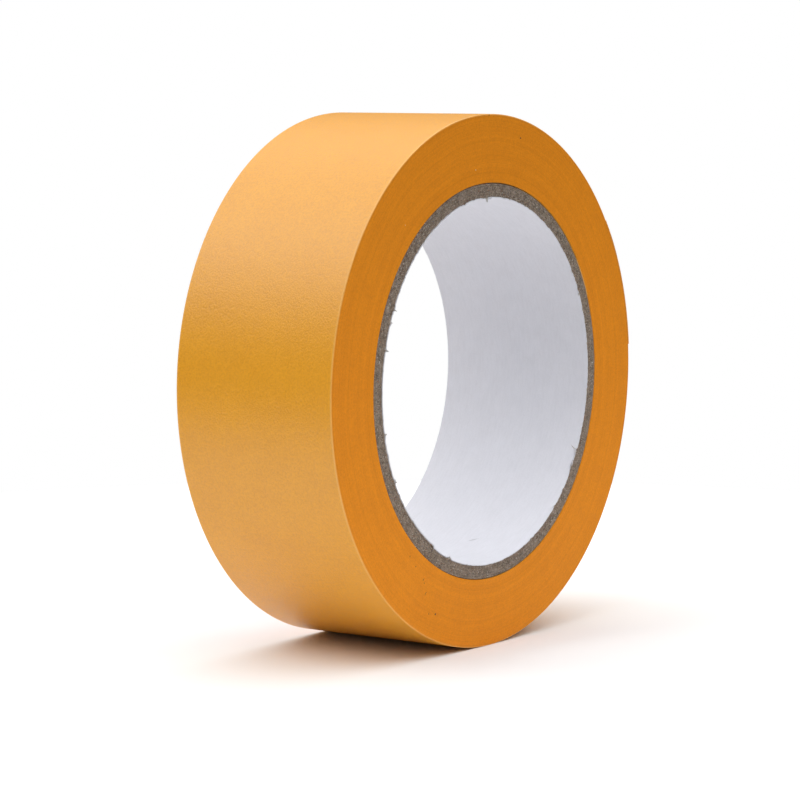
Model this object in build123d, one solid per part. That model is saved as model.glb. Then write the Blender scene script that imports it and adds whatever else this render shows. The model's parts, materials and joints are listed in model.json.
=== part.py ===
from build123d import *
import math
import os

# A roll of masking tape standing on its rim, in millimetres. The roll's axis is Y, +Z is up,
# and the origin is on that axis, midway across the tape's width. Angles are measured about
# the axis from +X towards +Z, as they look from the front (-Y) side.

# Driving dimensions of the tape
TAPE_WIDTH = 38.5
TAPE_THICKNESS = 0.087
WOUND_TURNS = 163
STANDING_FLAT_WIDTH = 6.0    # the outer turns are pressed flat this wide where the roll stands

# Driving dimensions of the spirally wound paperboard core
BORE_RADIUS = 38.0
LINER_THICKNESS = 0.2
PLY_THICKNESS = 0.56
PLY_COUNT = 5
CORE_REAR_INSET = 1.9        # the core's rear end stops this far inside the tape's rear face
PLY_STRIP_WIDTH = 101.6      # width of the paper strips that the core was wound from
SEAM_GAP = 0.3               # opening left where the two edges of a wound strip meet
LINER_SEAM_ANGLE = 238.0     # the liner's seam at the core's front end, in degrees
SEAM_STEP_ANGLE = 67.0       # each ply's seam is this far round from the one under it
CUTTER_MARGIN = 0.5          # how far the body that cuts a seam stands out of its layer

# Driving dimensions of the loose end of the tape
HINGE_ANGLE = 35.0           # where the loose end leaves the roll, in degrees
END_SEGMENTS = 3
END_SEGMENT_LENGTH = 10.0
END_CLEARANCE = 0.05         # between the loose end's pieces, the roll and each other

# Values that follow from them
CORE_OUTER_RADIUS = BORE_RADIUS + LINER_THICKNESS + PLY_COUNT * PLY_THICKNESS
ROLL_RADIUS = CORE_OUTER_RADIUS + WOUND_TURNS * TAPE_THICKNESS
STANDING_HEIGHT = math.sqrt(ROLL_RADIUS**2 - (STANDING_FLAT_WIDTH / 2) ** 2)
FRONT_Y = -TAPE_WIDTH / 2
CORE_LENGTH = TAPE_WIDTH - CORE_REAR_INSET


def direction(angle):
    """Unit vector in the roll's plane, as sketch coordinates, at an angle in degrees."""
    return Vector(math.cos(math.radians(angle)), math.sin(math.radians(angle)))


def front_plane():
    """Sketch plane on the roll's front face, with its normal towards the viewer (-Y)."""
    return Plane.XZ.offset(-FRONT_Y)


def seam_cutter(middle_radius, thickness, seam_angle):
    """The space between the two edges of a wound strip: a thin helical bar that is a little
    longer and deeper than the layer it divides."""
    circumference = 2 * math.pi * middle_radius
    lead = circumference * math.tan(math.asin(PLY_STRIP_WIDTH / circumference))
    start_angle = seam_angle - 360 * CUTTER_MARGIN / lead
    length = CORE_LENGTH + 2 * CUTTER_MARGIN
    with BuildSketch(front_plane().offset(CUTTER_MARGIN)) as section:
        with PolarLocations(middle_radius, 1, start_angle=start_angle):
            Rectangle(thickness + 2 * CUTTER_MARGIN, SEAM_GAP)
    return Solid.extrude_linear_with_rotation(
        section.sketch.faces()[0],
        center=(0, FRONT_Y - CUTTER_MARGIN, 0),
        normal=(0, length, 0),
        angle=360 * length / lead,
    )


def core_layer(inner_radius, thickness, seam_angle):
    """One wound paper layer of the core: a tube whose seam runs round it as a helix."""
    with BuildSketch(front_plane()) as section:
        Circle(inner_radius + thickness)
        Circle(inner_radius, mode=Mode.SUBTRACT)
    tube = extrude(section.sketch, amount=-CORE_LENGTH)
    return tube - seam_cutter(inner_radius + thickness / 2, thickness, seam_angle)


def core_layers():
    """The liner and the plies of the core, by node name, from the bore outwards."""
    layers = {"core_liner": core_layer(BORE_RADIUS, LINER_THICKNESS, LINER_SEAM_ANGLE)}
    for number in range(1, PLY_COUNT + 1):
        inner_radius = BORE_RADIUS + LINER_THICKNESS + (number - 1) * PLY_THICKNESS
        seam_angle = LINER_SEAM_ANGLE + number * SEAM_STEP_ANGLE
        layers[f"core_ply_{number}"] = core_layer(inner_radius, PLY_THICKNESS, seam_angle)
    return layers


def wound_tape():
    """The wound turns. Their outer surface is a spiral of two half circles, which steps up
    by one thickness of tape at the line where the loose end leaves the roll, and it has a
    slight flat at the bottom, where the roll's weight presses the turns together."""
    quarter = direction(HINGE_ANGLE) * (TAPE_THICKNESS / 4)
    first_radius = ROLL_RADIUS - 3 * TAPE_THICKNESS / 4
    second_radius = ROLL_RADIUS - TAPE_THICKNESS / 4
    with BuildSketch(front_plane()) as section:
        with BuildLine():
            first = CenterArc(-quarter, first_radius, HINGE_ANGLE, -180)
            second = CenterArc(quarter, second_radius, HINGE_ANGLE + 180, -180)
            Line(second @ 1, first @ 0)
        make_face()
        Circle(CORE_OUTER_RADIUS, mode=Mode.SUBTRACT)
        with Locations((0, -STANDING_HEIGHT)):
            Rectangle(ROLL_RADIUS, ROLL_RADIUS, align=(Align.CENTER, Align.MAX), mode=Mode.SUBTRACT)
    return extrude(section.sketch, amount=-TAPE_WIDTH)


def end_inner_radius():
    """Radius of the loose end's adhesive side, about the centre of the turn under it."""
    return ROLL_RADIUS - 3 * TAPE_THICKNESS / 4 + END_CLEARANCE


def loose_end_segment(number):
    """One short length of the loose end, numbered from 0 at the hinge line. It hangs
    clockwise from that line and follows the curve of the turn under it."""
    inner_radius = end_inner_radius()
    outer_radius = inner_radius + TAPE_THICKNESS
    pitch_angle = math.degrees(END_SEGMENT_LENGTH / outer_radius)
    clearance_angle = math.degrees(END_CLEARANCE / outer_radius)
    start = HINGE_ANGLE - number * pitch_angle - clearance_angle / 2
    span = pitch_angle - clearance_angle
    centre = direction(HINGE_ANGLE) * (-TAPE_THICKNESS / 4)
    with BuildSketch(front_plane()) as section:
        with BuildLine():
            outer = CenterArc(centre, outer_radius, start, -span)
            inner = CenterArc(centre, inner_radius, start, -span)
            Line(outer @ 0, inner @ 0)
            Line(outer @ 1, inner @ 1)
        make_face()
    return extrude(section.sketch, amount=-TAPE_WIDTH)


def build():
    """Every piece of the roll, by node name."""
    pieces = core_layers()
    pieces["wound_tape"] = wound_tape()
    for number in range(END_SEGMENTS):
        pieces[f"loose_end_{number + 1}"] = loose_end_segment(number)
    return pieces


os.makedirs("parts", exist_ok=True)
for name, piece in build().items():
    export_step(piece, f"parts/{name}.step")
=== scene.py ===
import json
import math

import bmesh
import bpy
import numpy as np
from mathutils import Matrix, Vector


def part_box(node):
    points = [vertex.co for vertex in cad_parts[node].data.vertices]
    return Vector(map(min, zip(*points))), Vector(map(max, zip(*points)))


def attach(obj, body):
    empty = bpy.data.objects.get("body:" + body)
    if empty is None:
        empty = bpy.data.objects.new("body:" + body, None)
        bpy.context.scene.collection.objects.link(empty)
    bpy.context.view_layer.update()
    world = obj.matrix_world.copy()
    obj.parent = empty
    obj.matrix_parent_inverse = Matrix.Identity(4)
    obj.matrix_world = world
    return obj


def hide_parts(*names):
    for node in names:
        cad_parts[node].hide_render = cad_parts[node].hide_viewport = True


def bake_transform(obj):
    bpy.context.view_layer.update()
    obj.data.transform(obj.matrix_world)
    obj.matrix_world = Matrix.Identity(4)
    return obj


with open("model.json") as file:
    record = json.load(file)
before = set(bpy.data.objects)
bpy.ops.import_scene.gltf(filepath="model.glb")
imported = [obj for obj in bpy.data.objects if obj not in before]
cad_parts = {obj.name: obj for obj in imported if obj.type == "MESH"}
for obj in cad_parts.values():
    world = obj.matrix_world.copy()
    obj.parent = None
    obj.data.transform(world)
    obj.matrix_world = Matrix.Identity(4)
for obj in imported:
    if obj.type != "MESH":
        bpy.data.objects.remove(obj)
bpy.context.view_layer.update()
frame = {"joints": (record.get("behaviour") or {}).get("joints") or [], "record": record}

MM = 0.001
WHITE = (1, 1, 1, 1)

# Sizes that the frame gives, in metres
TAPE_LOW, TAPE_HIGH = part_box("wound_tape")
LINER_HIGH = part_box("core_liner")[1]
FRONT_Y, REAR_Y = TAPE_LOW.y, TAPE_HIGH.y
CORE_REAR_Y = LINER_HIGH.y
FLOOR_Z = TAPE_LOW.z
BORE = next(m for m in frame["record"]["mounts"] if m["name"] == "core_bore")
BORE_RADIUS = BORE["dims"]["r_mm"] * MM
LINER_THICKNESS = LINER_HIGH.x - BORE_RADIUS
PLIES = ["core_ply_%d" % number for number in range(1, 6)]
CORE_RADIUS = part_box(PLIES[-1])[1].x
FIRST_HINGE = Vector(frame["joints"][0]["pos_m"])
HINGE_ANGLE = math.atan2(FIRST_HINGE.z, FIRST_HINGE.x)

# The tape
TURNS = 163
TAPE = 0.087 * MM
ROLL_RADIUS = CORE_RADIUS + TURNS * TAPE
END_LIFT = 0.05 * MM                 # how far the loose end stands off the roll
EDGE_ROUNDING = 0.22 * MM
CORNER_DEPTH = 0.18                  # share of the rounding where the sides' last row lies
SIDE_INSET = 0.03 * MM               # the turns' mean edge lies this far inside the width
OUTSIDE_WAVE = 0.012 * MM            # how far the outside's soft waves reach inwards
TAPE_COLUMNS = 384                   # vertex columns round the wound turns

# The loose end's strips: start, end, and where the bend starts and ends, in mm along it
END_STRIPS = [(0, 7.5, 0, 1.5), (7.5, 17.5, 7.5, 12.5), (17.5, 29.9, 17.5, 22.5)]
END_ROW = 0.25 * MM
END_COLUMNS = 161

# The core's seams are helices; the liner's starts at this angle on the front face
LINER_SEAM = math.radians(238.0)
SEAM_STEP = math.radians(67.0)
STRIP_WIDTH = 101.6 * MM
SEAM_OPENING = 0.1 * MM
SEAM_LIFT = 0.42 * MM                # the inner strip's end stands off by this at the front
PLY_COLUMNS, PLY_RINGS = 900, 8
LINER_COLUMNS, LINER_RINGS = 1100, 4
LINER_SHOWN = 0.8                    # share of its thickness, which keeps it off the first ply

# Larger burrs on the bore's front edge: angle and half width in degrees, height in mm
BORE_BURRS = [
    (92, 2.2, 0.30), (34, 0.9, 0.22), (27, 0.8, 0.25), (153.5, 0.7, 0.30), (158, 0.5, 0.25),
    (166, 0.7, 0.32), (192, 1.0, 0.26), (207, 0.8, 0.30), (247, 0.9, 0.22), (311, 0.6, 0.25),
    (327.5, 2.6, 0.60), (332.5, 0.7, 0.45), (120, 1.0, 0.15), (60, 1.4, 0.14),
]

# Torn bits on the bore's front edge: root angle in degrees, length and width in mm, lean,
# curl towards the front in mm, seed
BOARD_FLAKES = [
    (91.5, 0.9, 1.5, 0.5, 0.3, 1), (34, 0.5, 0.6, 0.2, 0.2, 2), (25.5, 0.6, 0.5, -0.3, 0.25, 3),
    (153.4, 0.6, 0.5, 0.3, 0.3, 4), (157.7, 0.5, 0.5, -0.2, 0.2, 5), (166.1, 0.7, 0.6, 0.2, 0.3, 6),
    (191.8, 0.6, 0.7, -0.3, 0.3, 7), (207.2, 0.7, 0.6, 0.3, 0.3, 8), (247.1, 0.5, 0.8, 0.1, 0.2, 9),
]
LINER_FLAKES = [
    (331.4, 1.3, 1.6, 0.5, 0.5, 11), (328.6, 0.9, 3.4, -0.3, 0.35, 12),
    (310.6, 0.5, 0.6, 0.1, 0.2, 13), (90.2, 0.5, 0.8, -0.3, 0.3, 14),
]

# Dust on the front's cut edges: share of the roll's radius, angle in degrees
DARK_DUST = [(0.930, 77.3), (0.995, 90.6), (0.905, -113.2)]
PALE_DUST = [(0.819, 132.1), (0.800, 97.0)]

# Scratches on the front's cut edges: share of the radius, angle and direction in degrees,
# length in mm
SCRATCHES = [(0.816, -121.9, 35, 0.55), (0.826, -121.2, 80, 0.3), (0.855, -119.3, 30, 0.7),
             (0.915, -115.8, 60, 0.4), (0.79, -131.0, 75, 0.35), (0.80, -127.0, 40, 0.3)]

# Colours, as linear red, green and blue
BACKING_DARK, BACKING_LIGHT = (0.80, 0.345, 0.003), (0.83, 0.365, 0.004)
# Painted highlight: the paler tint laid along the tape's outer rims
RIM_HIGHLIGHT_TINT = (0.97, 0.56, 0.16, 1)
EDGE_DARK, EDGE_LIGHT = (0.84, 0.278, 0.004), (0.90, 0.305, 0.006)
ADHESIVE_DARK, ADHESIVE_LIGHT = (0.84, 0.42, 0.08), (0.93, 0.52, 0.14)
BOARD_DARK, BOARD_MIDDLE = (0.12, 0.09, 0.065), (0.28, 0.218, 0.165)
BOARD_LIGHT = (0.45, 0.37, 0.30)
LINER_DARK, LINER_LIGHT = (0.724, 0.729, 0.78), (0.761, 0.766, 0.818)
FLOOR_WHITE = 0.89
SCUFF_PLACE = Vector((13.2, -6.3, -35.7)) * MM

# The studio's light: how bright it is at each height, from 0 at the horizon to 1 overhead
SKY = [(0.0, 0.05), (0.30, 0.10), (0.55, 0.30), (0.70, 0.75), (0.85, 0.80), (1.0, 0.85)]
SKY_STRENGTH = 2.35
SOFTBOX_FROM, SOFTBOX_SPREAD, SOFTBOX_STRENGTH = (-0.50, 0.58, 0.65), math.radians(38), 0.5
FLOOR_RADIUS = 0.26

# The camera: focal length and sensor in mm, place in roll radii, and where it looks in radians
CAMERA_LENS, CAMERA_SENSOR = 146.66, 36
CAMERA_PLACE = (-10.1077, -7.0964, 1.1665)
CAMERA_TURN, CAMERA_TILT = 0.95446, -0.10132


# ---------------------------------------------------------------- helpers

def smooth_step(low, high, value):
    """0 below low, 1 above high and a smooth rise in between, for arrays or numbers."""
    t = np.clip((value - low) / (high - low), 0, 1)
    return t * t * (3 - 2 * t)


def ring_noise(seed, lowest, highest, fall=1.0):
    """Smooth noise from -1 to 1 round a circle, as a function of an array of angles."""
    random = np.random.default_rng(seed)
    waves = np.arange(lowest, highest + 1)
    heights = random.normal(size=len(waves)) / waves**fall
    phases = random.uniform(0, 2 * np.pi, len(waves))
    angles = np.linspace(0, 2 * np.pi, 720 + 8 * highest)
    table = (heights[:, None] * np.cos(np.outer(waves, angles) + phases[:, None])).sum(0)
    table /= np.abs(table).max()
    return lambda angle: np.interp(np.mod(angle, 2 * np.pi), angles, table)


def polar(radius, angle, y):
    """Points on the roll from radius, angle about its axis (+X towards +Z) and y."""
    radius, angle, y = np.broadcast_arrays(radius, angle, y)
    return np.stack([radius * np.cos(angle), y, radius * np.sin(angle)], axis=-1)


def grid_faces(numbers):
    """Quads between the neighbours of a 2-D array of vertex numbers."""
    corners = [numbers[:-1, :-1], numbers[1:, :-1], numbers[1:, 1:], numbers[:-1, 1:]]
    return np.stack([c.ravel() for c in corners], axis=-1).tolist()


def new_piece(name, points, faces, body="roll"):
    """A smooth-shaded mesh object, riding on a CAD body unless body is empty."""
    mesh = bpy.data.meshes.new(name)
    mesh.from_pydata(np.asarray(points, float).tolist(), [], faces)
    mesh.validate()
    mesh.shade_smooth()
    piece = bpy.data.objects.new(name, mesh)
    bpy.context.scene.collection.objects.link(piece)
    outward_normals(piece)
    if body:
        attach(piece, body)
    return piece


def outward_normals(piece):
    """Turns every face of a closed mesh outwards."""
    shape = bmesh.new()
    shape.from_mesh(piece.data)
    bmesh.ops.recalc_face_normals(shape, faces=shape.faces)
    shape.to_mesh(piece.data)
    shape.free()


# ---------------------------------------------------------------- wound tape

def edge_drop(depth, rounding):
    """How far a rounded corner has fallen from the face, depth metres in from the corner."""
    share = np.clip(1 - depth / rounding, 0, 1)
    return rounding * (1 - np.sqrt(1 - share**2))


def side_relief(seed, turn, angle):
    """How far each turn's cut edge stands out of the roll's flat side, in metres. The turns
    wander in groups, as the tape tracked from side to side while it was wound."""
    random = np.random.default_rng(seed)
    fine = random.normal(size=TURNS + 2) * 0.003 * MM
    groups = np.interp(np.arange(TURNS + 2), np.arange(0, TURNS + 6, 3.3),
                       random.normal(size=len(np.arange(0, TURNS + 6, 3.3)))) * 0.004 * MM
    whole = np.floor(turn).astype(int)
    part = turn - whole
    blend = lambda table: table[whole] * (1 - part) + table[whole + 1] * part
    wave = ring_noise(seed + 1, 1, 5)(angle) * 0.012 * MM
    return blend(fine) + blend(groups) * (1 + 0.5 * ring_noise(seed + 2, 1, 9)(angle)) + wave


def wound_tape():
    """The wound turns: one vertex row for each turn on both sides, running as a true spiral,
    with the step in the outside where the loose end leaves the roll."""
    columns = TAPE_COLUMNS
    column = np.arange(columns)
    angle = HINGE_ANGLE - 2 * np.pi * column / columns
    turn = np.arange(TURNS)[:, None] + column / columns
    radius = CORE_RADIUS + TAPE * turn
    outer = radius[-1].copy()
    radius[-1] -= CORNER_DEPTH * EDGE_ROUNDING
    depth = np.minimum(outer - radius, radius - CORE_RADIUS + 0.3 * TAPE)
    drop = SIDE_INSET + edge_drop(depth, EDGE_ROUNDING)
    count = TURNS * columns
    front = polar(radius, angle, FRONT_Y + drop + side_relief(11, turn, angle))
    rear = polar(radius, angle, REAR_Y - drop - side_relief(12, turn, angle))
    high_corners = np.array([front[-1, 0], rear[-1, 0]]) + polar(TAPE, HINGE_ANGLE, 0)

    # the outside has one more column than the sides, for the upper edge of the step
    outside_angle = HINGE_ANGLE - 2 * np.pi * np.arange(columns + 1) / columns
    outside_radius = CORE_RADIUS + TAPE * (TURNS - 1 + np.arange(columns + 1) / columns)
    y = outside_rows()
    wave = (ring_noise(21, 2, 14)(outside_angle)[:, None] * np.sin(3 * y / REAR_Y + 1)
            + ring_noise(22, 2, 20)(outside_angle)[:, None] * np.cos(5 * y / REAR_Y))
    from_edge = np.minimum(y - FRONT_Y, REAR_Y - y) - SIDE_INSET
    inwards = edge_drop(from_edge, EDGE_ROUNDING) + OUTSIDE_WAVE * (1 + wave / 2)
    outside = polar(outside_radius[:, None] - inwards, outside_angle[:, None], y)

    points = np.concatenate([front.reshape(-1, 3), rear.reshape(-1, 3),
                             outside.reshape(-1, 3), high_corners])
    points[:, 2] = np.maximum(points[:, 2], FLOOR_Z)
    spiral = np.arange(count).reshape(TURNS, columns)
    skin = 2 * count + np.arange(outside.shape[0] * len(y)).reshape(-1, len(y))
    corner_front, corner_rear = len(points) - 2, len(points) - 1
    front_rows = np.hstack([spiral, np.append(spiral[1:, 0], corner_front)[:, None]])
    rear_rows = np.hstack([spiral, np.append(spiral[1:, 0], corner_rear - count)[:, None]]) + count
    faces = grid_faces(front_rows) + grid_faces(rear_rows) + grid_faces(skin)
    faces += grid_faces(np.stack([front_rows[-1], skin[:, 0]]))
    faces += grid_faces(np.stack([skin[:, -1], rear_rows[-1]]))
    step_edges = [[front_rows[-1, k], *skin[k], rear_rows[-1, k]] for k in (-1, 0)]
    faces += grid_faces(np.array(step_edges))
    faces += grid_faces(np.stack([front_rows[0], rear_rows[0]]))
    faces.append([int(rows[k, 0]) for k, rows in
                  ((0, front_rows), (1, front_rows), (1, rear_rows), (0, rear_rows))])
    piece = new_piece("tape_wound_turns", points, faces)
    piece.data.set_sharp_from_angle(angle=math.radians(45))
    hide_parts("wound_tape")
    return piece


def outside_rows():
    """Where the outside's vertex rows lie across the width: close together at the edges."""
    near = EDGE_ROUNDING * np.array([0.66, 0.82, 1.0, 1.6]) + SIDE_INSET
    middle = np.linspace(FRONT_Y + 1 * MM, REAR_Y - 1 * MM, 24)
    return np.concatenate([FRONT_Y + near, middle, REAR_Y - near[::-1]])


# ---------------------------------------------------------------- core

def seam_turn(radius, y):
    """How far a seam has turned about the axis at y, as an angle from the front face."""
    lead = 2 * np.pi * radius * math.tan(math.asin(STRIP_WIDTH / (2 * np.pi * radius)))
    return -2 * np.pi * (y - FRONT_Y) / lead


def bore_burr(angle, y):
    """How far the knife pushed the bore's front edge inwards, in metres: small ragged burrs
    all round, a few larger ones, and the end of the inner strip lifting at its seam."""
    ragged = np.maximum(ring_noise(31, 20, 260, 0.5)(angle) - 0.1, 0) * 0.34 * MM
    for centre, width, height in BORE_BURRS:
        away = np.abs(np.mod(angle - math.radians(centre) + np.pi, 2 * np.pi) - np.pi)
        ragged = ragged + height * MM * np.exp(-(away / math.radians(width)) ** 2)
    before_seam = np.mod(LINER_SEAM - 0.5 * SEAM_OPENING / BORE_RADIUS - angle, 2 * np.pi)
    lifted = SEAM_LIFT * (1 - smooth_step(0, math.radians(38), before_seam)) ** 1.5
    near_front = np.clip(1 - (y - FRONT_Y) / (1.2 * MM), 0, 1) ** 2
    near_seam = np.clip(1 - (y - FRONT_Y) / (9 * MM), 0, 1) ** 2
    return ragged * near_front + lifted * near_seam


def layer_rows(front, rear, end_spacing, count):
    """y values along a layer of the core, closer together at both cut ends."""
    near = end_spacing * np.array([0.0, 1.0, 2.5, 5.0, 10.0])
    middle = np.linspace(front + 18 * end_spacing, rear - 18 * end_spacing, count)
    return np.concatenate([front + near, middle, rear - near[::-1]])


def tube_layer(name, inner, outer, seam, columns, rings, end_height, burr, carried=0):
    """One wound paper layer of the core, open along its helical seam. end_height(share of
    the thickness, angle, end) is how far a cut end stands back from the core's end. burr
    moves the inner wall inwards, and the outer wall by the share carried of that."""
    y = layer_rows(FRONT_Y, CORE_REAR_Y, 0.08 * MM, 22)
    opening = SEAM_OPENING / inner
    around = np.linspace(opening / 2, 2 * np.pi - opening / 2, columns)[:, None]
    share = np.linspace(0, 1, rings)[1:-1]
    shares = np.concatenate([np.zeros(len(y)), share, np.ones(len(y)), share[::-1]])
    along = np.concatenate([y[::-1], np.full(len(share), y[0]), y, np.full(len(share), y[-1])])
    angle = seam + around + seam_turn((inner + outer) / 2, along)
    thickness = outer - inner
    radius = inner + thickness * shares
    radius = radius - burr(angle, along) * (1 - (1 - carried) * shares)
    near_front = np.clip(1 - (along - FRONT_Y) / (1.6 * MM), 0, 1)
    near_rear = np.clip(1 - (CORE_REAR_Y - along) / (1.6 * MM), 0, 1)
    back = end_height(shares, angle, 0) * near_front - end_height(shares, angle, 1) * near_rear
    points = polar(radius, angle, along + back)
    loop = points.shape[1]
    numbers = np.arange(columns * loop).reshape(columns, loop)
    numbers = np.hstack([numbers, numbers[:, :1]])
    faces = grid_faces(numbers)
    for column in (0, -1):
        faces += end_cap(numbers[column, :-1], len(y), len(share))
    return new_piece(name, points.reshape(-1, 3), faces)


def end_cap(loop, rows, between):
    """Closes a layer at its seam: quads across the thickness from the rear to the front, and
    one face at each end for the vertices between the inner and the outer wall."""
    inner = loop[:rows]
    front_middle = loop[rows:rows + between]
    outer = loop[rows + between:2 * rows + between][::-1]
    rear_middle = loop[2 * rows + between:]
    faces = [[int(n) for n in (inner[k], inner[k + 1], outer[k + 1], outer[k])]
             for k in range(1, rows - 2)]
    faces.append([int(n) for n in (inner[0], inner[1], outer[1], outer[0], *rear_middle)])
    faces.append([int(n) for n in (inner[-2], inner[-1], *front_middle, outer[-1], outer[-2])])
    return faces


def ply_end_height(number):
    """How the cut end of one ply stands back: torn fibres, a groove towards each of the
    plies beside it, and the crumbled outer edge of the last ply."""
    noises = [[ring_noise(100 + 20 * number + 10 * end + k, 30 * (k + 1), 240 + 60 * k, 0.4)
               for k in range(4)] for end in (0, 1)]
    levels = np.random.default_rng(50 + number).uniform(0.0, 0.07, 2) * MM

    def crack(share, angle):
        """The gap under the lifted end of the strip, in the front of the innermost ply."""
        before_seam = np.mod(LINER_SEAM - angle, 2 * np.pi)
        opening = 1 - smooth_step(math.radians(12), math.radians(34), before_seam)
        return 0.7 * opening * np.exp(-((share - 3 / 7) / 0.08) ** 2) * (number == 1)

    def height(share, angle, end):
        fibre = sum(noise(angle + 0.9 * k * share) * (0.5 + 0.5 * np.cos(9 * k * share + k))
                    for k, noise in enumerate(noises[end]))
        groove = np.maximum(np.abs(2 * share - 1) - 0.72, 0) / 0.28
        outer_edge = smooth_step(0.7, 1.0, share) * (0.32 if number == len(PLIES) else 0.0)
        set_back = 0.05 + 0.05 * fibre + 0.10 * groove**2 + outer_edge
        return levels[end] + (set_back + (end == 0) * crack(share, angle)) * MM

    return height


def core_plies():
    """The board plies of the core, each a strip with its own seam."""
    thickness = (CORE_RADIUS - BORE_RADIUS - LINER_THICKNESS) / len(PLIES)
    for number, node in enumerate(PLIES, start=1):
        inner = BORE_RADIUS + LINER_THICKNESS + (number - 1) * thickness
        with_bore = bore_burr if number == 1 else (lambda angle, y: 0 * angle)
        piece = tube_layer("board_ply_%d" % number, inner, inner + thickness,
                           LINER_SEAM + number * SEAM_STEP, PLY_COLUMNS, PLY_RINGS,
                           ply_end_height(number), with_bore)
        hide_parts(node)
        yield piece


def core_liner():
    """The white liner paper, with its soft dents and its cut ends pushed over by the knife."""
    dents = ring_noise(41, 3, 18)
    edge = ring_noise(42, 10, 200, 0.6)

    def wall(angle, y):
        away_from_ends = np.sin(np.pi * np.clip((y - FRONT_Y) / (CORE_REAR_Y - FRONT_Y), 0, 1))
        return bore_burr(angle, y) + 0.015 * MM * dents(angle + 14 * y) * away_from_ends

    def height(share, angle, end):
        return (0.02 + 0.06 * np.abs(edge(angle + end))) * MM

    piece = tube_layer("white_liner", BORE_RADIUS, BORE_RADIUS + LINER_SHOWN * LINER_THICKNESS,
                       LINER_SEAM, LINER_COLUMNS, LINER_RINGS, height, wall, carried=1)
    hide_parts("core_liner")
    return piece


# ---------------------------------------------------------------- torn paper, fibres, dust

def fibres(name, paths, thicknesses):
    """Hair-like fibres in one mesh: each a tapering tube along its path of points."""
    sides = 6
    ring = 2 * np.pi * np.arange(sides) / sides
    points, faces = [], []
    for path, thickness in zip(paths, thicknesses):
        path = np.asarray(path)
        along = np.gradient(path, axis=0)
        along /= np.linalg.norm(along, axis=1)[:, None]
        aside = np.cross(along, (0.31, 0.87, 0.39))
        aside /= np.linalg.norm(aside, axis=1)[:, None]
        across = np.cross(along, aside)
        taper = thickness / 2 * np.sqrt(np.linspace(1, 0.12, len(path)))[:, None, None]
        tube = path[:, None] + taper * (np.cos(ring)[:, None] * aside[:, None]
                                        + np.sin(ring)[:, None] * across[:, None])
        first = sum(len(part) for part in points)
        numbers = first + np.arange(len(path) * sides).reshape(len(path), sides)
        faces += grid_faces(np.hstack([numbers, numbers[:, :1]]))
        faces += [numbers[0].tolist(), numbers[-1].tolist()]
        points.append(tube.reshape(-1, 3))
    return new_piece(name, np.concatenate(points), faces)


def cut_face_fibres(name, y, out, seed, count):
    """Short fibres torn up by the knife on one end of the core, lying mostly along it."""
    random = np.random.default_rng(seed)
    paths = []
    for _ in range(count):
        radius = random.uniform(BORE_RADIUS + 0.2 * MM, CORE_RADIUS - 0.3 * MM)
        start = random.uniform(0, 2 * np.pi)
        length = random.uniform(0.3, 1.3) * MM * random.choice([-1, 1])
        share = np.linspace(0, 1, 8)
        drift = random.uniform(-0.5, 0.5) * MM * share + 0.15 * MM * np.sin(
            random.uniform(2, 5) * share + random.uniform(0, 6)) * share
        lift = random.uniform(0.02, 0.16) * MM * np.sin(random.uniform(1.5, 3.0) * share)
        reach = np.clip(radius + drift, BORE_RADIUS - 0.1 * MM, CORE_RADIUS - 0.05 * MM)
        paths.append(polar(reach, start + length * share / radius,
                           y + out * lift - out * 0.04 * MM))
    return fibres(name, paths, random.uniform(0.02, 0.06, count) * MM)


def loose_hair():
    """The long fibre that stands out of the bore's front edge, and two shorter ones by it."""
    root = math.radians(332.4)
    paths = []
    for length, lean, sag, turn in ((3.1, 0.0, 0.4, 0.0), (1.9, -0.35, 0.5, 0.8),
                                     (1.3, 0.5, -0.4, -0.9)):
        share = np.linspace(0, 1, 14)
        inward = length * MM * share * math.cos(lean)
        aside = length * MM * (share * math.sin(lean) + sag * 0.25 * share**2)
        paths.append(polar(BORE_RADIUS + 0.25 * MM - inward,
                           root + math.radians(turn) + aside / BORE_RADIUS,
                           FRONT_Y + (0.1 - 0.25 * share) * MM))
    return fibres("loose_hair", paths, [0.17 * MM, 0.12 * MM, 0.09 * MM])


def paper_flakes(name, flakes):
    """Torn bits of paper in one mesh. Each flake has a root angle in degrees, a length and a
    width in mm, a lean, how far it curls towards the front, and its own seed."""
    side = 9                             # vertices along and across each flake
    points, faces = [], []
    for angle, length, width, lean, curl, seed in flakes:
        random = np.random.default_rng(seed)
        share = np.linspace(0, 1, side)[:, None]
        across = np.linspace(-1, 1, side)[None, :]
        ragged = 1 + 0.35 * np.interp(across, np.linspace(-1, 1, 7), random.normal(size=7))
        outline = width / 2 * (1 - 0.75 * share**1.5) * (1 + 0.2 * random.normal(size=(side, 1)))
        inward = length * share * ragged * (1 - 0.3 * across**2) * MM
        aside = (across * outline + lean * share * length) * MM
        crinkle = 0.04 * random.normal(size=(side, side)) * share
        y = FRONT_Y + (0.12 - curl * share**2 + crinkle) * MM
        sheet = polar(BORE_RADIUS + 0.12 * MM - inward,
                      math.radians(angle) + aside / BORE_RADIUS, y)
        other = sheet + np.array([0, 0.07 * MM, 0]) * (1 - 0.5 * share[..., None])
        first = sum(len(part) for part in points)
        front = first + np.arange(side**2).reshape(side, side)
        faces += grid_faces(front) + grid_faces(front + side**2)
        rim = [*front[0, :-1], *front[:-1, -1], *front[-1, :0:-1], *front[:0:-1, 0]]
        rim = np.array([*rim, rim[0]])
        faces += grid_faces(np.stack([rim, rim + side**2]))
        points += [sheet.reshape(-1, 3), other.reshape(-1, 3)]
    return new_piece(name, np.concatenate(points), faces)


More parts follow.
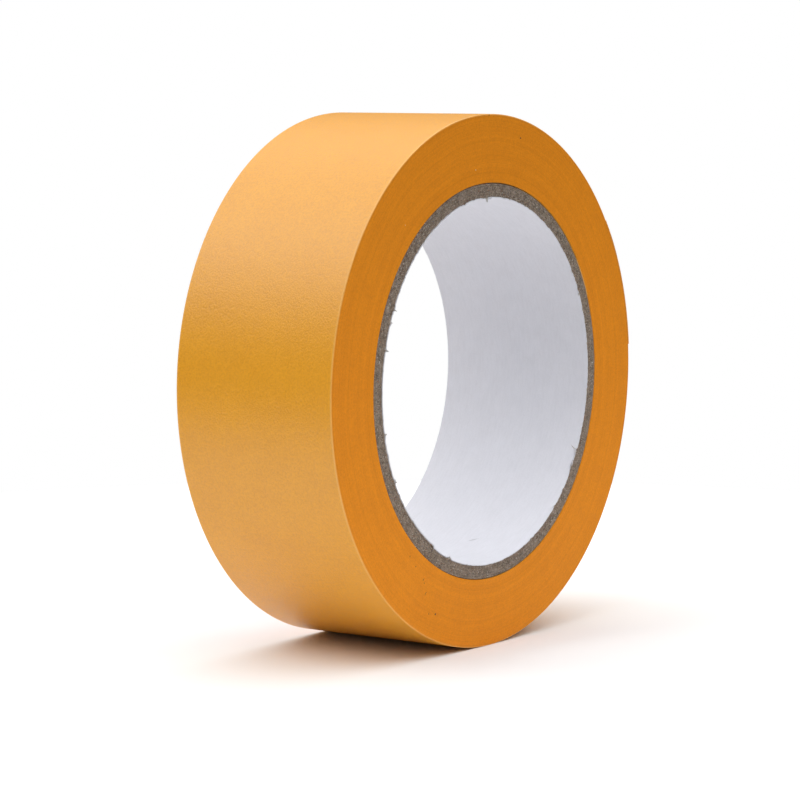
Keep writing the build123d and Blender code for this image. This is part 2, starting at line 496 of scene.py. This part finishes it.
def dust(name, specks):
    """Grains of dust in one mesh. Each has a place, the direction it lies flat against, a
    width in metres and its own seed."""
    shape = bmesh.new()
    for place, normal, width, seed in specks:
        random = np.random.default_rng(seed)
        made = bmesh.ops.create_icosphere(shape, subdivisions=3, radius=width / 2)
        waves = random.normal(size=(5, 3)) * 2.4 / width
        normal = Vector(normal)
        for vertex in made["verts"]:
            lump = sum(math.sin(Vector(wave).dot(vertex.co) + k) for k, wave in enumerate(waves))
            vertex.co *= 1 + 0.13 * lump
            vertex.co -= 0.55 * vertex.co.dot(normal) * normal
            vertex.co += Vector(place)
    mesh = bpy.data.meshes.new(name)
    shape.to_mesh(mesh)
    shape.free()
    mesh.shade_smooth()
    piece = bpy.data.objects.new(name, mesh)
    bpy.context.scene.collection.objects.link(piece)
    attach(piece, "roll")
    return piece


def dust_on_sides(name, front_places, rear_count, seed, width):
    """Grains on the cut edges of the turns: named ones on the front, random ones behind."""
    random = np.random.default_rng(seed)
    specks = []
    for number, (share, degrees) in enumerate(front_places):
        place = polar(share * ROLL_RADIUS, math.radians(degrees), FRONT_Y + 0.02 * MM)
        specks.append((place, (0, -1, 0), width * random.uniform(0.7, 1.3), seed + number))
    for number in range(rear_count):
        place = polar(random.uniform(0.78, 0.98) * ROLL_RADIUS,
                      random.uniform(0, 2 * np.pi), REAR_Y - 0.02 * MM)
        specks.append((place, (0, 1, 0), width * random.uniform(0.6, 1.3), seed + 50 + number))
    return dust(name, specks)


def scratches():
    """Short dark marks where the front's cut edges were scuffed."""
    paths = []
    for share, degrees, direction, length in SCRATCHES:
        reach = np.linspace(-0.5, 0.5, 7) * length * MM
        centre = polar(share * ROLL_RADIUS, math.radians(degrees), FRONT_Y + SIDE_INSET)
        way = polar(1, math.radians(direction), 0)
        bend = 0.08 * MM * np.cos(4 * reach / (length * MM))[:, None] * polar(
            1, math.radians(direction + 90), 0)
        paths.append(centre + reach[:, None] * way + bend)
    return fibres("side_scratches", paths, [0.13 * MM] * len(paths))


# ---------------------------------------------------------------- loose end

def end_radius(along):
    """Inner radius of the loose end, along metres from where it leaves the roll."""
    turned = along / ROLL_RADIUS / (2 * np.pi)
    return (ROLL_RADIUS - TAPE + TAPE * turned + 0.004 * MM
            + END_LIFT * smooth_step(0, 6 * MM, along))


def end_point(along):
    """A point on the loose end's inside, midway across the width."""
    return Vector(polar(float(end_radius(along)), HINGE_ANGLE - along / ROLL_RADIUS, 0.0))


def end_strip(name, start, end, bodies, bend, node, torn):
    """Part of the loose end from start to end metres along it, and its free edge is torn if torn is
    true. bodies and bend are not used."""
    rows = np.linspace(start, end, int((end - start) / END_ROW) + 1)[:, None]
    y = FRONT_Y + SIDE_INSET + np.linspace(0, 1, END_COLUMNS) * (REAR_Y - FRONT_Y - 2 * SIDE_INSET)
    ragged = ring_noise(61, 3, 30)(y / (12 * MM)) + 0.5 * ring_noise(62, 30, 90)(y / (12 * MM))
    along = rows - torn * 0.22 * MM * (1.3 + ragged) * smooth_step(end - 2 * MM, end, rows)
    angle = HINGE_ANGLE - along / ROLL_RADIUS
    ripple = 0.006 * MM * ring_noise(63, 4, 16)(y / (20 * MM) + rows / (35 * MM))
    ripple = ripple * smooth_step(0, 4 * MM, along)
    inner = polar(end_radius(along) + ripple, angle, y)
    outer = polar(end_radius(along) + ripple + TAPE, angle, y)
    points = np.concatenate([inner.reshape(-1, 3), outer.reshape(-1, 3)])
    inside = np.arange(along.size).reshape(along.shape)
    outside = inside + along.size
    faces = grid_faces(inside) + grid_faces(outside)
    for k in (0, -1):
        faces += grid_faces(np.stack([inside[k], outside[k]]))
        faces += grid_faces(np.stack([inside[:, k], outside[:, k]]))
    piece = new_piece(name, points, faces, body=None)
    piece.data.set_sharp_from_angle(angle=math.radians(50))
    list(bodies)
    end_point(bend[0])
    end_point(bend[1])
    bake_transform(piece)
    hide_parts(node)
    return piece


def loose_end():
    """The last 30 mm of tape in three strips."""
    names = ["roll", "loose_end_1", "loose_end_2", "loose_end_3"]
    for number, (start, end, bend_start, bend_end) in enumerate(END_STRIPS):
        yield end_strip("loose_end_strip_%d" % (number + 1), start * MM, end * MM,
                        names[number:number + 2], (bend_start * MM, bend_end * MM),
                        names[number + 1], torn=number == 2)


# ---------------------------------------------------------------- materials

def add_node(tree, kind, inputs=None, **settings):
    """A node with its settings, its inputs set to values or linked to other sockets."""
    made = tree.nodes.new(kind)
    for name, value in settings.items():
        setattr(made, name, value)
    for name, value in (inputs or {}).items():
        if isinstance(value, bpy.types.NodeSocket):
            tree.links.new(value, made.inputs[name])
        else:
            made.inputs[name].default_value = value
    return made


def new_material(name, **constants):
    """A material with a Principled shader: the material, its tree, its shader, and object
    coordinates in metres."""
    material = bpy.data.materials.new(name)
    material.use_nodes = True
    tree = material.node_tree
    shader = tree.nodes["Principled BSDF"]
    for socket, value in constants.items():
        shader.inputs[socket.replace("_", " ")].default_value = value
    return material, tree, shader, add_node(tree, "ShaderNodeTexCoord").outputs["Object"]


def noise(tree, where, grain, detail=4.0, rough=0.55, stretch=(1, 1, 1)):
    """Noise whose grains are about grain metres wide, longer along an axis by stretch."""
    scale = tuple(1 / (grain * factor) for factor in stretch)
    mapped = add_node(tree, "ShaderNodeMapping", {"Vector": where, "Scale": scale})
    made = add_node(tree, "ShaderNodeTexNoise", {"Vector": mapped.outputs["Vector"],
                    "Scale": 1.0, "Detail": detail, "Roughness": rough})
    return made.outputs["Fac"]


def from_axis(tree, where):
    """The distance from the roll's axis."""
    flat = add_node(tree, "ShaderNodeVectorMath", {0: where, 1: (1, 0, 1)}, operation="MULTIPLY")
    return add_node(tree, "ShaderNodeVectorMath", {0: flat.outputs[0]},
                    operation="LENGTH").outputs["Value"]


def ring_bands(tree, where, grain, detail, wander):
    """Noise that depends on the distance from the roll's axis, and hardly on the angle."""
    scaled = math_node(tree, "MULTIPLY", from_axis(tree, where), 1 / grain)
    moved = math_node(tree, "MULTIPLY", noise(tree, where, 25 * MM, 2), wander)
    made = add_node(tree, "ShaderNodeTexNoise", {"W": math_node(tree, "ADD", scaled, moved),
                    "Scale": 1.0, "Detail": detail, "Roughness": 0.6}, noise_dimensions="1D")
    return made.outputs["Fac"]


def math_node(tree, operation, first, second):
    """The result of a sum or another operation on two values."""
    return add_node(tree, "ShaderNodeMath", {0: first, 1: second},
                    operation=operation).outputs[0]


def ramp(tree, value, *stops):
    """A colour for each value between stops of (position, (r, g, b))."""
    made = add_node(tree, "ShaderNodeValToRGB", {"Fac": value})
    elements = made.color_ramp.elements
    while len(elements) < len(stops):
        elements.new(0.5)
    for element, (position, colour) in zip(elements, stops):
        element.position = position
        element.color = (*colour, 1)
    return made.outputs["Color"]


def mix(tree, kind, amount, first, second):
    """Two colours mixed, multiplied and so on, by an amount from 0 to 1."""
    made = add_node(tree, "ShaderNodeMix", data_type="RGBA", blend_type=kind)
    for socket, value in ((made.inputs[0], amount), (made.inputs[6], first),
                          (made.inputs[7], second)):
        if isinstance(value, bpy.types.NodeSocket):
            tree.links.new(value, socket)
        else:
            socket.default_value = value
    return made.outputs[2]


def grey(value):
    """One value as red, green and blue, or as x, y and z."""
    return (value, value, value)


def between(tree, value, low, high, to_low, to_high):
    """value moved from the range low to high into to_low to to_high, and kept inside it."""
    return add_node(tree, "ShaderNodeMapRange", {"Value": value, "From Min": low,
                    "From Max": high, "To Min": to_low, "To Max": to_high}).outputs["Result"]


def bump(tree, shader, *layers):
    """Layers of (height, depth in metres, strength) laid over each other as the normal."""
    normal = None
    for height, depth, strength in layers:
        inputs = {"Height": height, "Distance": depth, "Strength": strength}
        if normal:
            inputs["Normal"] = normal
        normal = add_node(tree, "ShaderNodeBump", inputs).outputs["Normal"]
    tree.links.new(normal, shader.inputs["Normal"])


def backing_material():
    """The tape's back: smooth thin paper with a satin coat, faint fibres lying along the
    tape, fine creases across it, slightly paler and duller patches, and a painted highlight
    along its rims."""
    material, tree, shader, where = new_material("tape_backing", Specular_IOR_Level=0.75,
                                                 IOR=1.5)
    patches = noise(tree, where, 9 * MM, 4, 0.6)
    crosswise = noise(tree, where, 0.7 * MM, 3, 0.6, stretch=(1, 14, 1))
    fibre = noise(tree, where, 0.42 * MM, 4, 0.65)
    colour = ramp(tree, patches, (0.3, BACKING_DARK), (0.7, BACKING_LIGHT))
    colour = mix(tree, "MULTIPLY", 1.0, colour,
                 ramp(tree, crosswise, (0.3, grey(0.975)), (0.65, grey(1.0))))
    colour = mix(tree, "MULTIPLY", 1.0, colour,
                 ramp(tree, fibre, (0.36, (0.88, 0.84, 0.70)), (0.6, (1, 1, 1))))
    along_axis = add_node(tree, "ShaderNodeSeparateXYZ", {0: where}).outputs["Y"]
    from_middle = math_node(tree, "ABSOLUTE", along_axis, 0.0)
    # Painted highlight: the backing is tinted paler close to the rims of its width
    rim_highlight = between(tree, from_middle, REAR_Y - 0.45 * MM, REAR_Y - 0.1 * MM, 0, 0.5)
    colour = mix(tree, "MIX", rim_highlight, colour, RIM_HIGHLIGHT_TINT)
    tree.links.new(colour, shader.inputs["Base Color"])
    tree.links.new(between(tree, fibre, 0.35, 0.65, 0.30, 0.40), shader.inputs["Roughness"])
    bump(tree, shader, (crosswise, 0.01 * MM, 0.2), (fibre, 0.09 * MM, 0.8))
    return material


def cut_edge_material():
    """The turns seen edge on: saturated paper edges, with rings where the tension changed
    and a trace of fluff, and a painted highlight near the roll's outer rim."""
    material, tree, shader, where = new_material("tape_cut_edges", Specular_IOR_Level=0.25,
                                                 IOR=1.45, Roughness=0.62)
    wide = ring_bands(tree, where, 1.7 * MM, 3, 2.0)
    fine = ring_bands(tree, where, 0.24 * MM, 4, 3.0)
    patches = noise(tree, where, 6 * MM, 4, 0.6)
    fluff = noise(tree, where, 0.34 * MM, 4, 0.7)
    colour = ramp(tree, wide, (0.3, EDGE_DARK), (0.7, EDGE_LIGHT))
    for layer, low in ((fine, (0.90, 0.87, 0.82)), (patches, (0.96, 0.95, 0.94)),
                       (fluff, (0.84, 0.80, 0.72))):
        colour = mix(tree, "MULTIPLY", 1.0, colour, ramp(tree, layer, (0.3, low), (0.62, (1, 1, 1))))
    # Painted highlight: the cut edges are tinted paler close to the roll's outer rim
    rim_highlight = between(tree, from_axis(tree, where), ROLL_RADIUS - 0.4 * MM,
                   ROLL_RADIUS - 0.12 * MM, 0, 0.5)
    colour = mix(tree, "MIX", rim_highlight, colour, RIM_HIGHLIGHT_TINT)
    tree.links.new(colour, shader.inputs["Base Color"])
    bump(tree, shader, (fine, 0.03 * MM, 0.3), (fluff, 0.03 * MM, 0.4))
    return material


def adhesive_material():
    """The sticky side: the same paper seen through a thin glossy coat with fine pits."""
    material, tree, shader, where = new_material("tape_adhesive", Specular_IOR_Level=0.5,
                                                 IOR=1.47)
    streaks = noise(tree, where, 1.2 * MM, 4, 0.6, stretch=(1, 5, 1))
    pits = noise(tree, where, 0.3 * MM, 4, 0.6)
    tree.links.new(ramp(tree, streaks, (0.3, ADHESIVE_DARK), (0.7, ADHESIVE_LIGHT)),
                   shader.inputs["Base Color"])
    tree.links.new(between(tree, pits, 0.35, 0.65, 0.16, 0.34), shader.inputs["Roughness"])
    bump(tree, shader, (streaks, 0.03 * MM, 0.4), (pits, 0.02 * MM, 0.4))
    return material


def board_material():
    """Recycled board: grey-brown pulp with bits of white, blue, rust and black fibre."""
    material, tree, shader, where = new_material("core_board", Specular_IOR_Level=0.2,
                                                 Roughness=0.85)
    pulp = noise(tree, where, 1.1 * MM, 6, 0.65)
    colour = ramp(tree, pulp, (0.25, BOARD_DARK), (0.5, BOARD_MIDDLE), (0.78, BOARD_LIGHT))
    flecks = [((0.50, 0.42, 0.34), 0.30, 0.56), ((0.09, 0.13, 0.24), 0.26, 0.61),
              ((0.34, 0.12, 0.05), 0.28, 0.60), ((0.03, 0.025, 0.02), 0.24, 0.58),
              ((0.80, 0.77, 0.72), 0.33, 0.62)]
    for number, (tint, grain, above) in enumerate(flecks):
        moved = add_node(tree, "ShaderNodeVectorMath",
                         {0: where, 1: grey(0.31 * (number + 1))}, operation="ADD").outputs[0]
        spots = noise(tree, moved, grain * MM, 3, 0.7, stretch=(1.6, 1, 1.3))
        colour = mix(tree, "MIX", between(tree, spots, above, above + 0.06, 0, 0.85),
                     colour, (*tint, 1))
    fibre = noise(tree, where, 0.20 * MM, 5, 0.8)
    colour = mix(tree, "MULTIPLY", 1.0, colour,
                 ramp(tree, fibre, (0.32, grey(0.45)), (0.5, grey(0.95)), (0.68, grey(1.0))))
    tree.links.new(colour, shader.inputs["Base Color"])
    bump(tree, shader, (pulp, 0.10 * MM, 0.5), (fibre, 0.10 * MM, 0.8))
    return material


def liner_material():
    """Smooth cool white paper, with the soft mottle of pulp and one small grey scuff."""
    material, tree, shader, where = new_material("core_liner", Specular_IOR_Level=0.35,
                                                 IOR=1.45)
    cloud = noise(tree, where, 4 * MM, 5, 0.6)
    grain = noise(tree, where, 0.35 * MM, 5, 0.65)
    streak = noise(tree, where, 0.5 * MM, 3, 0.6, stretch=(6, 1, 6))
    colour = ramp(tree, cloud, (0.25, LINER_DARK), (0.75, LINER_LIGHT))
    for layer in (grain, streak):
        colour = mix(tree, "MULTIPLY", 1.0, colour,
                     ramp(tree, layer, (0.3, grey(0.965)), (0.6, grey(1.0))))
    moved = add_node(tree, "ShaderNodeMapping", {"Vector": where, "Location": SCUFF_PLACE,
                     "Rotation": (0, math.radians(-20), math.radians(-50)),
                     "Scale": grey(1.0)}, vector_type="TEXTURE").outputs["Vector"]
    shape = add_node(tree, "ShaderNodeVectorMath", {0: moved, 1: (1.3 * MM, 0.35 * MM, 1 * MM)},
                     operation="DIVIDE").outputs[0]
    away = add_node(tree, "ShaderNodeVectorMath", {0: shape}, operation="LENGTH").outputs["Value"]
    away = math_node(tree, "ADD", away, math_node(tree, "MULTIPLY", grain, 1.2))
    colour = mix(tree, "MIX", between(tree, away, 1.0, 1.7, 0.42, 0), colour,
                 (0.30, 0.31, 0.33, 1))
    tree.links.new(colour, shader.inputs["Base Color"])
    tree.links.new(between(tree, cloud, 0.3, 0.7, 0.5, 0.62), shader.inputs["Roughness"])
    bump(tree, shader, (streak, 0.02 * MM, 0.35), (grain, 0.02 * MM, 0.35))
    return material


def fluff_material(name, dark, light):
    """Matt fibre or dust, mottled between two colours."""
    material, tree, shader, where = new_material(name, Specular_IOR_Level=0.2, Roughness=0.8)
    mottle = noise(tree, where, 0.35 * MM, 4, 0.7)
    tree.links.new(ramp(tree, mottle, (0.3, dark), (0.7, light)), shader.inputs["Base Color"])
    bump(tree, shader, (mottle, 0.03 * MM, 0.5))
    return material


def floor_material():
    """A plain white studio floor with a barely visible mottle."""
    material, tree, shader, where = new_material("studio_floor", Specular_IOR_Level=0.1,
                                                 Roughness=0.9)
    mottle = noise(tree, where, 60 * MM, 3, 0.5)
    tree.links.new(ramp(tree, mottle, (0.3, grey(FLOOR_WHITE - 0.006)), (0.7, grey(FLOOR_WHITE))),
                   shader.inputs["Base Color"])
    return material


def paint(piece, materials, choose=None):
    """Gives a piece its materials. choose(normals, centres) is the number of each face's."""
    for material in materials:
        piece.data.materials.append(material)
    if choose:
        faces = piece.data.polygons
        normals, centres = np.empty(3 * len(faces)), np.empty(3 * len(faces))
        faces.foreach_get("normal", normals)
        faces.foreach_get("center", centres)
        chosen = choose(normals.reshape(-1, 3), centres.reshape(-1, 3))
        faces.foreach_set("material_index", np.asarray(chosen, np.int32))


def side_or_backing(normals, centres):
    """1 for faces that look along the roll's axis, 0 for the others."""
    return np.abs(normals[:, 1]) > 0.72


def strip_side(normals, centres):
    """0 for the outside of the loose end, 1 for its cut edges, 2 for the adhesive."""
    outwards = (normals * centres)[:, [0, 2]].sum(1) / np.linalg.norm(centres[:, [0, 2]], axis=1)
    return np.where(outwards > 0.8, 0, np.where(outwards < -0.8, 2, 1))


# ---------------------------------------------------------------- floor, light, camera

def studio_floor():
    """A plain disc under the roll."""
    angles = np.linspace(0, 2 * np.pi, 128, endpoint=False)
    points = [(FLOOR_RADIUS * math.cos(a), FLOOR_RADIUS * math.sin(a), FLOOR_Z) for a in angles]
    floor = new_piece("floor", points, [list(range(len(points)))], body=None)
    paint(floor, [floor_material()])


def studio_light():
    """A soft white tent: bright overhead, dimmer towards the horizon, and plain white where
    the camera sees past the floor."""
    world = bpy.data.worlds.new("studio")
    bpy.context.scene.world = world
    world.use_nodes = True
    tree = world.node_tree
    where = add_node(tree, "ShaderNodeTexCoord").outputs["Generated"]
    height = add_node(tree, "ShaderNodeSeparateXYZ", {0: where}).outputs["Z"]
    sky = ramp(tree, height, *[(level, grey(light)) for level, light in SKY])
    seen = add_node(tree, "ShaderNodeLightPath").outputs["Is Camera Ray"]
    colour = mix(tree, "MIX", seen, sky, WHITE)
    background = tree.nodes["Background"]
    tree.links.new(colour, background.inputs["Color"])
    strength = between(tree, seen, 0, 1, SKY_STRENGTH, 1.0)
    tree.links.new(strength, background.inputs["Strength"])


def softbox():
    """One wide soft light, which lays a satin band over the roll's upper side."""
    data = bpy.data.lights.new("softbox", "SUN")
    data.energy, data.angle = SOFTBOX_STRENGTH, SOFTBOX_SPREAD
    light = bpy.data.objects.new("softbox", data)
    bpy.context.scene.collection.objects.link(light)
    light.rotation_euler = Vector(SOFTBOX_FROM).to_track_quat("Z", "Y").to_euler()


def camera():
    """The photograph's viewpoint, from the front left and slightly above."""
    data = bpy.data.cameras.new("camera")
    data.lens = CAMERA_LENS
    data.sensor_width = CAMERA_SENSOR
    data.clip_start, data.clip_end = 0.01, 100
    seen_by = bpy.data.objects.new("camera", data)
    bpy.context.scene.collection.objects.link(seen_by)
    seen_by.location = ROLL_RADIUS * Vector(CAMERA_PLACE)
    level = math.cos(CAMERA_TILT)
    ahead = Vector((level * math.sin(CAMERA_TURN), level * math.cos(CAMERA_TURN),
                    math.sin(CAMERA_TILT)))
    seen_by.rotation_euler = ahead.to_track_quat("-Z", "Y").to_euler()
    bpy.context.scene.camera = seen_by


# ---------------------------------------------------------------- everything together

backing, edges, adhesive = backing_material(), cut_edge_material(), adhesive_material()
board, white_paper = board_material(), liner_material()
torn_paper = fluff_material("torn_paper", (0.30, 0.27, 0.24), (0.72, 0.70, 0.68))
fibre_tone = fluff_material("fibre", (0.16, 0.12, 0.09), (0.62, 0.56, 0.50))
dark_dust = fluff_material("dark_dust", (0.05, 0.025, 0.01), (0.16, 0.08, 0.04))
pale_dust = fluff_material("pale_dust", (0.80, 0.52, 0.20), (0.95, 0.75, 0.45))

paint(wound_tape(), [backing, edges], side_or_backing)
for strip in loose_end():
    paint(strip, [backing, edges, adhesive], strip_side)
for ply in core_plies():
    paint(ply, [board])
paint(core_liner(), [white_paper])
paint(cut_face_fibres("front_fibres", FRONT_Y, -1, 71, 420), [fibre_tone])
paint(cut_face_fibres("rear_fibres", CORE_REAR_Y, 1, 72, 260), [fibre_tone])
paint(loose_hair(), [fibre_tone])
paint(paper_flakes("board_flakes", BOARD_FLAKES), [torn_paper])
paint(paper_flakes("liner_flakes", LINER_FLAKES), [white_paper])
paint(dust_on_sides("dark_dust", DARK_DUST, 6, 81, 0.30 * MM), [dark_dust])
paint(dust_on_sides("pale_dust", PALE_DUST, 4, 91, 0.20 * MM), [pale_dust])
paint(scratches(), [dark_dust])

studio_floor()
studio_light()
softbox()
camera()
bpy.context.scene.view_settings.view_transform = "Standard"
